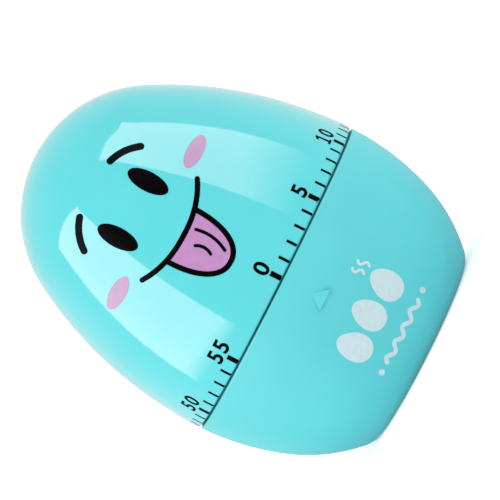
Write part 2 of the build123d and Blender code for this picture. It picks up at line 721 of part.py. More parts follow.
def spring_hook(radius):
    """The peg on the main arbor that reaches through the spring's inner end."""
    peg = Rot(0, 90, 0) * extrude(Circle(radius), MAIN_R + HOOK_REACH)
    return Pos(0, 0, SPRING_Z + SPRING_W / 2) * Rot(0, 0, SPRING_POST_ANGLE + HOOK_TURN) * peg


def mainspring():
    """A spiral of half circles whose centres alternate, with an eye round the spring post."""
    radius = MAIN_R + SPRING_STRIP / 4
    inner, outer = (
        [
            CenterArc((SPRING_HALF_PITCH * (k % 2), 0), first_r + SPRING_HALF_PITCH * k, 180 * (k % 2), 180)
            for k in range(SPRING_HALF_TURNS)
        ]
        for first_r in (radius, radius + SPRING_STRIP)
    )
    start = Line(inner[0] @ 0, outer[0] @ 0)
    end = Line(inner[-1] @ 1, outer[-1] @ 1)
    strip = make_face([start, *inner, end, *outer])
    post_x = hypot(*SPRING_POST)
    eye_r = SPRING_POST_R + 2 * RUN
    eye = Pos(post_x, 0) * (Circle(eye_r + SPRING_STRIP) - Circle(eye_r))
    spring = Pos(0, 0, SPRING_Z) * Rot(0, 0, SPRING_POST_ANGLE) * extrude(strip + eye, SPRING_W)
    return spring - spring_hook(HOOK_R + FIT)


def stop_cam():
    """The disc whose notch lets the release lever in at zero, under the tooth that ends the travel."""
    post_half = degrees(asin((STOP_POST_R + STOP_GAP) / STOP_RING_R))
    tooth_half = (360 - DIAL_TRAVEL) / 2 - post_half
    centre = STOP_ANGLE - post_half - tooth_half
    flanks = [ring_point(2 * STOP_TIP_R, centre + side * tooth_half) for side in (-1, 1)]
    stop = Circle(STOP_DISC_R) + (make_face(Polyline((0, 0), *flanks, close=True)) & Circle(STOP_TIP_R))
    edge = Circle(CAM_R) - Pos(*ring_point(CAM_R, LEVER_NOSE_ANGLE)) * Circle(CAM_NOTCH_DEPTH)
    cam = Pos(0, 0, CAM_Z) * extrude(edge, CAM_T) + Pos(0, 0, CAM_Z + CAM_T) * extrude(stop, STOP_T)
    return cam - Pos(0, 0, CAM_Z) * extrude(d_section(FIT), CAM_T + STOP_T)


def dial_carrier():
    """The ribbed disc that joins the dial half to the winding shaft."""
    rib_low = CARRIER_Z + CARRIER_T
    disc_r = egg_radius(rib_low) - WALL - CARRIER_EDGE_GAP
    carrier = cylinder(disc_r, CARRIER_Z, rib_low) + cylinder(HUB_R, HUB_Z, HUB_Z + HUB_H)
    rib = Pos(RIB_END_R / 2, 0, rib_low + RIB_H / 2) * Box(RIB_END_R, RIB_T, RIB_H)
    for number in range(RIB_COUNT):
        carrier += Rot(0, 0, 360 * number / RIB_COUNT) * rib
    carrier -= Pos(0, 0, HUB_Z) * extrude(d_section(FIT), HUB_H - HUB_TOP_GAP / 2)
    for angle in CARRIER_BOSS_ANGLES:
        carrier -= cylinder(SCREW_HOLE_R, CARRIER_Z, rib_low, ring_point(CARRIER_BOSS_RING_R, angle))
    return carrier


def carrier_screws():
    screw = pan_screw(CARRIER_Z, CARRIER_T + SCREW_GRIP - SCREW_END_GAP, up=False)
    return along_ring(Pos(CARRIER_BOSS_RING_R, 0) * screw, CARRIER_BOSS_ANGLES)


# ---- Going train ------------------------------------------------------------------------------------
SECOND_PHASE = mesh_phase(0, WHEEL_TEETH, PINION_TEETH, SECOND_ANGLE)
THIRD_PHASE = mesh_phase(0, WHEEL_TEETH, PINION_TEETH, bearing(SECOND, THIRD))
ESCAPE_PHASE = mesh_phase(0, WHEEL_TEETH, PINION_TEETH, bearing(THIRD, ESCAPE))
LOW_PIVOT = (BASE_PLATE_Z + PIVOT_END, FRAME_Z + SEAT, PIVOT_R)
HIGH_PIVOT = (TOP_PLATE_Z - SEAT, TOP_Z - PIVOT_END, PIVOT_R)
TRAIN_STEPS = (LOW_PIVOT, (FRAME_Z + SEAT, TOP_PLATE_Z - SEAT, ARBOR_R), HIGH_PIVOT)
FINE_OUTLINE = gear_outline(WHEEL_TEETH, FINE_MODULE)
FINE_RIM_R = WHEEL_TEETH * FINE_MODULE / 2 - WHEEL_RIM


def second_arbor():
    leaves = pinion(SECOND, GREAT_MODULE, SECOND_PHASE, GREAT_Z, GREAT_T)
    return arbor(SECOND, TRAIN_STEPS) + leaves


def second_wheel():
    return wheel(FINE_OUTLINE, 0, SECOND, SECOND_Z, SECOND_T, ARBOR_R + FIT, FINE_RIM_R, WHEEL_HUB_R)


def strike_wheel():
    """The saw-toothed wheel that flicks the hammer's tail once the lever lets it in."""
    sides = (STRIKE_TIP_HALF, STRIKE_STEEP_HALF, STRIKE_SLOPE_HALF)
    outline = saw_outline(STRIKE_TEETH, STRIKE_TIP_R, STRIKE_ROOT_R, *sides)
    rim_r = STRIKE_ROOT_R - ESCAPE_RIM
    return wheel(outline, 0, SECOND, STRIKE_Z, STRIKE_T, ARBOR_R + FIT, rim_r, WHEEL_HUB_R, 3)


def third_arbor():
    return arbor(THIRD, TRAIN_STEPS) + pinion(THIRD, FINE_MODULE, THIRD_PHASE, SECOND_Z, SECOND_T)


def third_wheel():
    return wheel(FINE_OUTLINE, 0, THIRD, THIRD_Z, THIRD_T, ARBOR_R + FIT, FINE_RIM_R, WHEEL_HUB_R)


def escape_arbor():
    return arbor(ESCAPE, TRAIN_STEPS) + pinion(ESCAPE, FINE_MODULE, ESCAPE_PHASE, THIRD_Z, THIRD_T)


def escape_wheel():
    """Its teeth stand a quarter pitch from each pallet pin at rest."""
    sides = (ESCAPE_TIP_HALF, ESCAPE_ROOT_HALF, ESCAPE_ROOT_HALF)
    outline = saw_outline(ESCAPE_TEETH, ESCAPE_TIP_R, ESCAPE_ROOT_R, *sides)
    turn = bearing(ESCAPE, PALLET) + PALLET_HALF_SPAN - 90 / ESCAPE_TEETH
    rim_r = ESCAPE_ROOT_R - ESCAPE_RIM
    return wheel(outline, turn, ESCAPE, ESCAPE_Z, ESCAPE_T, ARBOR_R + FIT, rim_r, ESCAPE_HUB_R, 3)


def pallet_pins():
    """Where the two pallet pins stand at mid-swing."""
    reach = ESCAPE_TIP_R + PALLET_PIN_R + PALLET_CLEARANCE
    middle = bearing(ESCAPE, PALLET)
    return [
        (ESCAPE[0] + reach * cos(radians(middle + side)), ESCAPE[1] + reach * sin(radians(middle + side)))
        for side in (-PALLET_HALF_SPAN, PALLET_HALF_SPAN)
    ]


def pallet_arbor():
    return arbor(PALLET, TRAIN_STEPS)


def pallet_anchor():
    """The two-armed lever whose pins let one escape tooth pass at each swing."""
    anchor = cylinder(ANCHOR_HUB_R, PALLET_Z, PALLET_Z + ANCHOR_T, PALLET)
    for pin in pallet_pins():
        anchor += bar(PALLET, pin, ANCHOR_W, PALLET_Z, PALLET_Z + ANCHOR_T)
        anchor += cylinder(PALLET_PIN_R, ESCAPE_Z - PIN_OVERHANG, PALLET_Z + ANCHOR_T, pin)
    return anchor - cylinder(ARBOR_R + FIT, PALLET_Z, PALLET_Z + ANCHOR_T, PALLET)


def balance_bar():
    """The weighted bar whose swing sets the timer's pace."""
    high = BALANCE_Z + BALANCE_T
    along = PALLET_ANGLE - 90
    ends = [
        (PALLET[0] + side * BALANCE_HALF * cos(radians(along)),
         PALLET[1] + side * BALANCE_HALF * sin(radians(along)))
        for side in (-1, 1)
    ]
    balance = bar(*ends, BALANCE_W, BALANCE_Z, high) + cylinder(BALANCE_HUB_R, BALANCE_Z, high, PALLET)
    for end in ends:
        balance += cylinder(BALANCE_WEIGHT_R, BALANCE_Z, BALANCE_Z + BALANCE_WEIGHT_T, end)
    return balance - cylinder(ARBOR_R + FIT, BALANCE_Z, high, PALLET)


# ---- Bell and hammer --------------------------------------------------------------------------------
def bell():
    """A cup-shaped gong, open towards the base plate."""
    flat_r = BELL_R - BELL_CURL_R
    centre = (flat_r, BELL_Z + BELL_CURL_R)
    inner_r = BELL_CURL_R - BELL_T
    rim_z = BELL_Z + BELL_H
    hole_r = BELL_SCREW_R + BELL_HOLE_GAP
    outline = [
        Line((hole_r, BELL_Z), (flat_r, BELL_Z)),
        CenterArc(centre, BELL_CURL_R, -90, 90),
        Line((BELL_R, centre[1]), (BELL_R, rim_z)),
        Line((BELL_R, rim_z), (BELL_R - BELL_T, rim_z)),
        Line((BELL_R - BELL_T, rim_z), (BELL_R - BELL_T, centre[1])),
        CenterArc(centre, inner_r, 0, -90),
        Line((flat_r, BELL_Z + BELL_T), (hole_r, BELL_Z + BELL_T)),
        Line((hole_r, BELL_Z + BELL_T), (hole_r, BELL_Z)),
    ]
    return revolve(Plane.XZ * make_face(outline), Axis.Z)


def bell_post():
    """The post under the base plate that carries the bell and the main arbor's lower pivot."""
    low = BELL_Z + BELL_T
    post = arbor(MAIN, ((low, BASE_PLATE_Z, BELL_POST_R), (BASE_PLATE_Z, FRAME_Z, BELL_SPIGOT_R)))
    post -= cylinder(MAIN_PIVOT_R + RUN, FRAME_Z - MAIN_PIVOT_L - SEAT, FRAME_Z)
    return post - cylinder(BELL_SCREW_R + FIT, low, low + BELL_SCREW_GRIP + SCREW_END_GAP)


def bell_screw():
    low = BELL_Z - BELL_SCREW_HEAD_H
    screw = cylinder(BELL_SCREW_HEAD_R, low, BELL_Z)
    screw += cylinder(BELL_SCREW_R, BELL_Z, BELL_Z + BELL_T + BELL_SCREW_GRIP)
    return screw - cross_slot(BELL_SCREW_HEAD_R, CROSS_DEPTH, low)


def hammer_direction():
    """The way the hammer's arm points: clockwise along its ring, turned inwards a little."""
    return HAMMER_ANGLE - 90 - HAMMER_TURN_IN


def hammer_arbor():
    return arbor(
        HAMMER,
        ((HAMMER_ARM_Z, TOP_PLATE_Z - SEAT, HAMMER_ARBOR_R), HIGH_PIVOT),
    )


def hammer_arm():
    """The arm inside the bell, with the striking head at its end."""
    turn = radians(hammer_direction())
    head = (HAMMER[0] + HAMMER_ARM * cos(turn), HAMMER[1] + HAMMER_ARM * sin(turn))
    high = HAMMER_ARM_Z + HAMMER_ARM_T
    arm = bar(HAMMER, head, HAMMER_ARM_W, HAMMER_ARM_Z, high)
    arm += cylinder(HAMMER_HUB_R, HAMMER_ARM_Z, high, HAMMER)
    middle = (HAMMER_ARM_Z + high) / 2
    arm += cylinder(HAMMER_HEAD_R, middle - HAMMER_HEAD_H / 2, middle + HAMMER_HEAD_H / 2, head)
    return arm - cylinder(HAMMER_ARBOR_R + FIT, HAMMER_ARM_Z, high, HAMMER)


def hammer_tail():
    """The short finger on the hammer arbor that rides the strike wheel's teeth."""
    reach = HAMMER_REACH - STRIKE_TIP_R - TAIL_GAP - TAIL_NOSE_R
    turn = radians(bearing(HAMMER, SECOND))
    nose = (HAMMER[0] + reach * cos(turn), HAMMER[1] + reach * sin(turn))
    tail = bar(HAMMER, nose, 2 * TAIL_NOSE_R, STRIKE_Z, STRIKE_Z + STRIKE_T)
    tail += cylinder(TAIL_HUB_R, STRIKE_Z, STRIKE_Z + TAIL_HUB_H, HAMMER)
    return tail - cylinder(HAMMER_ARBOR_R + FIT, STRIKE_Z, STRIKE_Z + TAIL_HUB_H, HAMMER)


# ---- Release lever ------------------------------------------------------------------------------------
def lever_post():
    """The shouldered post that the release lever turns on."""
    return arbor(
        LEVER,
        (
            (TOP_PLATE_Z, TOP_Z, POST_SPIGOT_R),
            (TOP_Z, CAM_Z - SEAT, LEVER_SHOULDER_R),
            (CAM_Z - SEAT, CAM_Z + CAM_T + LEVER_POST_TOP, LEVER_POST_R),
        ),
    )


def release_lever():
    """The lever whose nose follows the cam's edge."""
    nose = ring_point(CAM_R + LEVER_NOSE_R + LEVER_GAP, LEVER_NOSE_ANGLE)
    high = CAM_Z + CAM_T - LEVER_DROP
    lever = bar(LEVER, nose, 2 * LEVER_NOSE_R, CAM_Z, high) + cylinder(LEVER_HUB_R, CAM_Z, high, LEVER)
    return lever - cylinder(LEVER_POST_R + RUN, CAM_Z, high, LEVER)


PIECES = {
    "upper_shell": upper_shell,
    "lower_shell": lower_shell,
    "bottom_cover": bottom_cover,
    "bottom_cover_screws": bottom_cover_screws,
    "base_plate": base_plate,
    "top_plate": top_plate,
    "plate_pillars": plate_pillars,
    "pillar_nuts": pillar_nuts,
    "movement_screws": movement_screws,
    "main_bush": main_bush,
    "spring_post": spring_post,
    "stop_post": stop_post,
    "main_arbor": main_arbor,
    "great_wheel": great_wheel,
    "clutch_spring": clutch_spring,
    "circlip": circlip,
    "mainspring": mainspring,
    "stop_cam": stop_cam,
    "dial_carrier": dial_carrier,
    "carrier_screws": carrier_screws,
    "second_arbor": second_arbor,
    "second_wheel": second_wheel,
    "strike_wheel": strike_wheel,
    "third_arbor": third_arbor,
    "third_wheel": third_wheel,
    "escape_arbor": escape_arbor,
    "escape_wheel": escape_wheel,
    "pallet_arbor": pallet_arbor,
    "pallet_anchor": pallet_anchor,
    "balance_bar": balance_bar,
    "bell": bell,
    "bell_post": bell_post,
    "bell_screw": bell_screw,
    "hammer_arbor": hammer_arbor,
    "hammer_arm": hammer_arm,
    "hammer_tail": hammer_tail,
    "lever_post": lever_post,
    "release_lever": release_lever,
}

os.makedirs("parts", exist_ok=True)
for name, make in PIECES.items():
    export_step(make(), f"parts/{name}.step")
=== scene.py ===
from math import cos, pi, radians, sin

import bmesh
import bpy
import numpy as np
from mathutils import Matrix, Vector


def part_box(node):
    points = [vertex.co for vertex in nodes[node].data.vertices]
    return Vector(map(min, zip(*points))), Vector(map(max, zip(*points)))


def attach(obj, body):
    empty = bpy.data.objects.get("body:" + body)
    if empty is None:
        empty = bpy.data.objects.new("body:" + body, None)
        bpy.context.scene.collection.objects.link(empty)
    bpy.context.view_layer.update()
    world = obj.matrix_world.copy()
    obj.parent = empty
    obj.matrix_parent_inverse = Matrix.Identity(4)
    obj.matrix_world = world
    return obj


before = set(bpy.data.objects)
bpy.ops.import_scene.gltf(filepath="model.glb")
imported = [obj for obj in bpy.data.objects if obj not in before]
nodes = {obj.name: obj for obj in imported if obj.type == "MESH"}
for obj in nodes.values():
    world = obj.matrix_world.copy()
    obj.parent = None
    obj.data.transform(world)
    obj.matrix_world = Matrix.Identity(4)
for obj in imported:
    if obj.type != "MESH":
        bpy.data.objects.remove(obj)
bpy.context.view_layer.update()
MM = 0.001


# ---- Dial half ------------------------------------------------------------------------------
# The upper half of the egg is injection moulded in turquoise ABS in a polished tool, so it
# comes out glossy, with the faintest waviness in its skin. It is the dial that gets wound.

TURQUOISE = (0.052, 0.410, 0.450, 1.0)
TURQUOISE_DEEP = (0.047, 0.392, 0.431, 1.0)


def new_material(name):
    """An empty node material with its shader and a source of object coordinates."""
    material = bpy.data.materials.new(name)
    material.use_nodes = True
    tree = material.node_tree
    tree.nodes.clear()
    output = tree.nodes.new("ShaderNodeOutputMaterial")
    shader = tree.nodes.new("ShaderNodeBsdfPrincipled")
    tree.links.new(shader.outputs["BSDF"], output.inputs["Surface"])
    where = tree.nodes.new("ShaderNodeTexCoord")
    return material, shader, where


def noise(material, where, size, detail=3.0, stretch=(1.0, 1.0, 1.0)):
    """A noise texture whose features are about size metres across."""
    tree = material.node_tree
    mapping = tree.nodes.new("ShaderNodeMapping")
    mapping.inputs["Scale"].default_value = stretch
    texture = tree.nodes.new("ShaderNodeTexNoise")
    texture.inputs["Scale"].default_value = 1.0 / size
    texture.inputs["Detail"].default_value = detail
    tree.links.new(where.outputs["Object"], mapping.inputs["Vector"])
    tree.links.new(mapping.outputs["Vector"], texture.inputs["Vector"])
    return texture


def tint(material, shader, pattern, low, high, start=0.35, end=0.65):
    """Base colour that drifts between two tones with a pattern."""
    tree = material.node_tree
    ramp = tree.nodes.new("ShaderNodeValToRGB")
    ramp.color_ramp.elements[0].position = start
    ramp.color_ramp.elements[0].color = low
    ramp.color_ramp.elements[1].position = end
    ramp.color_ramp.elements[1].color = high
    tree.links.new(pattern.outputs["Fac"], ramp.inputs["Fac"])
    tree.links.new(ramp.outputs["Color"], shader.inputs["Base Color"])


def vary_roughness(material, shader, pattern, low, high):
    """Roughness that runs from low to high with a pattern."""
    tree = material.node_tree
    spread = tree.nodes.new("ShaderNodeMapRange")
    spread.inputs["To Min"].default_value = low
    spread.inputs["To Max"].default_value = high
    tree.links.new(pattern.outputs["Fac"], spread.inputs["Value"])
    tree.links.new(spread.outputs["Result"], shader.inputs["Roughness"])


def raise_bumps(material, shader, pattern, height, strength):
    """Fine relief from a pattern, height metres deep."""
    tree = material.node_tree
    bump = tree.nodes.new("ShaderNodeBump")
    bump.inputs["Strength"].default_value = strength
    bump.inputs["Distance"].default_value = height
    tree.links.new(pattern.outputs["Fac"], bump.inputs["Height"])
    tree.links.new(bump.outputs["Normal"], shader.inputs["Normal"])


def lacquer(shader, weight, roughness):
    """A clear coat over a material."""
    shader.inputs["Coat Weight"].default_value = weight
    shader.inputs["Coat Roughness"].default_value = roughness


def give(node_names, material):
    """Finishes CAD nodes in a material, in every slot they have."""
    for name in node_names:
        for slot in nodes[name].material_slots:
            slot.material = material


gloss, shader, where = new_material("glossy_turquoise_abs")
tint(gloss, shader, noise(gloss, where, 14 * MM), TURQUOISE_DEEP, TURQUOISE)
vary_roughness(gloss, shader, noise(gloss, where, 5 * MM), 0.05, 0.09)
raise_bumps(gloss, shader, noise(gloss, where, 6 * MM, 1.0), 0.02 * MM, 0.12)
shader.inputs["IOR"].default_value = 1.5
lacquer(shader, 0.5, 0.03)
give(["upper_shell"], gloss)


# ---- Standing half --------------------------------------------------------------------------
# The lower half is the same turquoise ABS from a lightly blasted tool, so it is satin rather
# than glossy. The embossed arrow that the dial is read against is part of the same moulding.

satin, shader, where = new_material("satin_turquoise_abs")
SATIN_DEEP = (0.043, 0.376, 0.415, 1)
SATIN = (0.048, 0.394, 0.433, 1)
tint(satin, shader, noise(satin, where, 16 * MM), SATIN_DEEP, SATIN)
vary_roughness(satin, shader, noise(satin, where, 3 * MM), 0.40, 0.48)
raise_bumps(satin, shader, noise(satin, where, 0.25 * MM, 2.0), 0.01 * MM, 0.25)
shader.inputs["IOR"].default_value = 1.6
give(["lower_shell"], satin)


# ---- Minute scale ---------------------------------------------------------------------------
# Fifty-six black strokes are pad printed round the dial's rim, one for each minute from 0 to
# 55, with a wider stroke every fifth minute. The numbers rise to the reader's right.

egg_low, egg_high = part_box("upper_shell")
EGG_RADIUS = egg_high.x
RIM_HEIGHT = egg_low.z
MARKS = 56
MARK_PITCH = radians(5.956)
MARK_START = radians(-0.12)
MARK_LOW = RIM_HEIGHT + 0.04 * MM
MARK_TALL = 2.04 * MM
MARK_WIDE = 0.52 * MM
FIFTH_MARK_WIDE = 0.98 * MM
MARK_CLEAR = 0.5 * MM
INK_SUNK = 0.02 * MM
INK_FILM = 0.05 * MM



def pad_ink(name, low, high, smooth, rough, blotch, relief=0.2):
    """Printing ink, blotched between two tones, with the fine skin that the pad leaves on it."""
    material, shader, where = new_material(name)
    tint(material, shader, noise(material, where, blotch), low, high)
    vary_roughness(material, shader, noise(material, where, 0.3 * MM), smooth, rough)
    raise_bumps(material, shader, noise(material, where, 0.12 * MM), 0.004 * MM, relief)
    return material, shader


BLACK_LOW = (0.0004, 0.0004, 0.0006, 1)
BLACK_HIGH = (0.0010, 0.0010, 0.0013, 1)
ink, shader = pad_ink("black_pad_print", BLACK_LOW, BLACK_HIGH, 0.18, 0.28, blotch=0.6 * MM)
shader.inputs["Specular IOR Level"].default_value = 0.025


def add(tree, kind, settings=None, **inputs):
    """A node with its settings and its unlinked inputs filled in."""
    node = tree.nodes.new(kind)
    for key, value in (settings or {}).items():
        setattr(node, key, value)
    for key, value in inputs.items():
        node.inputs[key.replace("_", " ")].default_value = value
    return node


def socket_id(tree, label):
    """The identifier of a tree's named input."""
    for item in tree.interface.items_tree:
        if item.item_type == "SOCKET" and item.in_out == "INPUT" and item.name == label:
            return item.identifier
    raise KeyError(label)


def new_tree(name, inputs):
    """A geometry tree with a geometry socket on each side and further named inputs."""
    tree = bpy.data.node_groups.new(name, "GeometryNodeTree")
    tree.interface.new_socket("Geometry", in_out="INPUT", socket_type="NodeSocketGeometry")
    tree.interface.new_socket("Geometry", in_out="OUTPUT", socket_type="NodeSocketGeometry")
    for label, kind in inputs:
        tree.interface.new_socket(label, in_out="INPUT", socket_type=kind)
    return tree, tree.nodes.new("NodeGroupInput"), tree.nodes.new("NodeGroupOutput")


def settle(piece, tree, values):
    """Runs a tree on a piece with the given inputs, and keeps the result as its plain mesh."""
    modifier = piece.modifiers.new(tree.name, "NODES")
    modifier.node_group = tree
    for label, value in values.items():
        modifier[socket_id(tree, label)] = value
    bpy.context.view_layer.update()
    evaluated = piece.evaluated_get(bpy.context.evaluated_depsgraph_get())
    mesh = bpy.data.meshes.new_from_object(evaluated)
    piece.modifiers.remove(modifier)
    piece.data = mesh
    mesh.name = piece.name
    return piece


def scale_tree():
    """Strokes stood round the axis, facing it, at a little more than the egg's radius."""
    tree, given, result = new_tree(
        "minute_strokes",
        [
            ("Count", "NodeSocketInt"),
            ("Pitch", "NodeSocketFloat"),
            ("Start", "NodeSocketFloat"),
            ("Radius", "NodeSocketFloat"),
            ("Middle Height", "NodeSocketFloat"),
            ("Width", "NodeSocketFloat"),
            ("Fifth Width", "NodeSocketFloat"),
            ("Tall", "NodeSocketFloat"),
            ("Ink", "NodeSocketMaterial"),
        ],
    )
    link = tree.links.new
    points = add(tree, "GeometryNodePoints")
    place = add(tree, "ShaderNodeCombineXYZ")
    index = add(tree, "GeometryNodeInputIndex")
    turn = add(tree, "ShaderNodeMath", {"operation": "MULTIPLY_ADD"})
    angle = add(tree, "ShaderNodeCombineXYZ")
    stroke = add(tree, "GeometryNodeMeshGrid", Vertices_X=3, Vertices_Y=16)
    upright = add(tree, "GeometryNodeTransform", Rotation=(pi / 2, 0, 0))
    fifth = add(tree, "FunctionNodeIntegerMath", {"operation": "MODULO"})
    fifth.inputs[1].default_value = 5
    is_fifth = add(tree, "FunctionNodeCompare", {"data_type": "INT", "operation": "EQUAL"})
    share = add(tree, "ShaderNodeMath", {"operation": "DIVIDE"})
    widen = add(tree, "GeometryNodeSwitch", {"input_type": "FLOAT"})
    widen.inputs["False"].default_value = 1.0
    size = add(tree, "ShaderNodeCombineXYZ", Y=1.0, Z=1.0)
    stand = add(tree, "GeometryNodeInstanceOnPoints")
    turned = add(tree, "GeometryNodeRotateInstances", {}, Pivot_Point=(0, 0, 0))
    turned.inputs["Local Space"].default_value = False
    back = add(tree, "ShaderNodeMath", {"operation": "MULTIPLY"})
    back.inputs[1].default_value = -1.0
    real = add(tree, "GeometryNodeRealizeInstances")
    inked = add(tree, "GeometryNodeSetMaterial")
    link(given.outputs["Count"], points.inputs["Count"])
    link(given.outputs["Radius"], back.inputs[0])
    link(back.outputs[0], place.inputs["Y"])
    link(given.outputs["Middle Height"], place.inputs["Z"])
    link(place.outputs[0], points.inputs["Position"])
    link(given.outputs["Width"], stroke.inputs["Size X"])
    link(given.outputs["Tall"], stroke.inputs["Size Y"])
    link(stroke.outputs["Mesh"], upright.inputs["Geometry"])
    link(index.outputs[0], fifth.inputs[0])
    link(fifth.outputs[0], is_fifth.inputs["A"])
    link(given.outputs["Fifth Width"], share.inputs[0])
    link(given.outputs["Width"], share.inputs[1])
    link(is_fifth.outputs[0], widen.inputs["Switch"])
    link(share.outputs[0], widen.inputs["True"])
    link(widen.outputs[0], size.inputs["X"])
    link(points.outputs[0], stand.inputs["Points"])
    link(upright.outputs[0], stand.inputs["Instance"])
    link(size.outputs[0], stand.inputs["Scale"])
    link(index.outputs[0], turn.inputs[0])
    link(given.outputs["Pitch"], turn.inputs[1])
    link(given.outputs["Start"], turn.inputs[2])
    link(turn.outputs[0], angle.inputs["Z"])
    link(stand.outputs[0], turned.inputs["Instances"])
    link(angle.outputs[0], turned.inputs["Rotation"])
    link(turned.outputs[0], real.inputs[0])
    link(real.outputs[0], inked.inputs["Geometry"])
    link(given.outputs["Ink"], inked.inputs["Material"])
    link(inked.outputs[0], result.inputs[0])
    return tree


def print_tree():
    """Pads a flat print on to a shell: each point goes to the skin, and the film gets a thickness."""
    tree, given, result = new_tree(
        "pad_print",
        [
            ("Shell", "NodeSocketObject"),
            ("Around", "NodeSocketFloat"),
            ("Sunk", "NodeSocketFloat"),
            ("Film", "NodeSocketFloat"),
            ("Ink", "NodeSocketMaterial"),
        ],
    )
    link = tree.links.new
    skin = add(tree, "GeometryNodeObjectInfo", {"transform_space": "RELATIVE"})
    here = add(tree, "GeometryNodeInputPosition")
    inward = add(tree, "ShaderNodeVectorMath", {"operation": "MULTIPLY"})
    inward.inputs[1].default_value = (-1, -1, 0)
    unit = add(tree, "ShaderNodeVectorMath", {"operation": "NORMALIZE"})
    aim = add(tree, "ShaderNodeMix", {"data_type": "VECTOR"})
    aim.inputs["A"].default_value = (0, 1, 0)
    ray = add(tree, "GeometryNodeRaycast", Ray_Length=0.1)
    sink = add(tree, "ShaderNodeVectorMath", {"operation": "SCALE"})
    down = add(tree, "ShaderNodeMath", {"operation": "MULTIPLY"})
    down.inputs[1].default_value = -1.0
    skin_normal = add(tree, "GeometryNodeCaptureAttribute")
    skin_normal.capture_items.new("VECTOR", "Skin Normal")
    lay = add(tree, "GeometryNodeSetPosition")
    film = add(tree, "GeometryNodeExtrudeMesh", {"mode": "FACES"}, Individual=False)
    back = add(tree, "GeometryNodeFlipFaces")
    whole = add(tree, "GeometryNodeJoinGeometry")
    weld = add(tree, "GeometryNodeMergeByDistance", Distance=0.001 * MM)
    smooth = add(tree, "GeometryNodeSetShadeSmooth")
    real = add(tree, "GeometryNodeRealizeInstances")
    coat = add(tree, "GeometryNodeSetMaterial")
    link(given.outputs["Shell"], skin.inputs["Object"])
    link(here.outputs[0], inward.inputs[0])
    link(inward.outputs[0], unit.inputs[0])
    link(given.outputs["Around"], aim.inputs["Factor"])
    link(unit.outputs[0], aim.inputs["B"])
    link(skin.outputs["Geometry"], ray.inputs["Target Geometry"])
    link(aim.outputs["Result"], ray.inputs["Ray Direction"])
    link(given.outputs["Sunk"], down.inputs[0])
    link(ray.outputs["Hit Normal"], sink.inputs[0])
    link(down.outputs[0], sink.inputs["Scale"])
    link(given.outputs["Geometry"], skin_normal.inputs["Geometry"])
    link(ray.outputs["Hit Normal"], skin_normal.inputs["Skin Normal"])
    link(skin_normal.outputs["Geometry"], lay.inputs["Geometry"])
    link(ray.outputs["Hit Position"], lay.inputs["Position"])
    link(sink.outputs[0], lay.inputs["Offset"])
    link(lay.outputs[0], film.inputs["Mesh"])
    link(skin_normal.outputs["Skin Normal"], film.inputs["Offset"])
    link(given.outputs["Film"], film.inputs["Offset Scale"])
    link(lay.outputs[0], back.inputs["Mesh"])
    link(film.outputs["Mesh"], whole.inputs[0])
    link(back.outputs[0], whole.inputs[0])
    link(whole.outputs[0], weld.inputs[0])
    link(weld.outputs[0], smooth.inputs[0])
    link(smooth.outputs[0], real.inputs[0])
    link(real.outputs[0], coat.inputs["Geometry"])
    link(given.outputs["Ink"], coat.inputs["Material"])
    link(coat.outputs[0], result.inputs[0])
    return tree


PAD_PRINT = print_tree()


def pad_print(piece, shell, body, colour, around, film=INK_FILM):
    """Prints a flat piece on a shell, and lets it ride on that shell's body."""
    values = {
        "Shell": nodes[shell],
        "Around": around,
        "Sunk": INK_SUNK,
        "Film": film,
        "Ink": colour,
    }
    settle(piece, PAD_PRINT, values)
    piece.data.set_sharp_from_angle(angle=radians(40))
    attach(piece, body)


def new_piece(name, mesh=None):
    """A new object in the scene, with its own mesh or an empty one."""
    piece = bpy.data.objects.new(name, mesh or bpy.data.meshes.new(name))
    bpy.context.scene.collection.objects.link(piece)
    return piece


minute_marks = new_piece("minute_marks")
settle(
    minute_marks,
    scale_tree(),
    {
        "Count": MARKS,
        "Pitch": MARK_PITCH,
        "Start": MARK_START,
        "Radius": EGG_RADIUS + MARK_CLEAR,
        "Middle Height": MARK_LOW + MARK_TALL / 2,
        "Width": MARK_WIDE,
        "Fifth Width": FIFTH_MARK_WIDE,
        "Tall": MARK_TALL,
        "Ink": ink,
    },
)
pad_print(minute_marks, "upper_shell", "dial", ink, 1.0)


# ---- Minute numbers -------------------------------------------------------------------------
# The numbers stand above every fifth stroke, in the same black ink from the same pad.

NUMBER_FOOT = MARK_LOW + MARK_TALL + 0.28 * MM
NUMBER_TALL = 2.90 * MM
FIGURE_ADVANCE = radians(4.85)
FIGURE_WIDEN = 1.10
FIGURE_BOLD = 0.026
FIGURE_ONE = [
    (-0.27, 0.00),
    (0.29, 0.00),
    (0.29, 0.15),
    (0.11, 0.15),
    (0.11, 1.00),
    (-0.05, 1.00),
    (-0.29, 0.90),
    (-0.29, 0.74),
    (-0.08, 0.81),
    (-0.08, 0.15),
    (-0.27, 0.15),
]
FACET = 0.7 * MM
SLIVER = 0.008 * MM


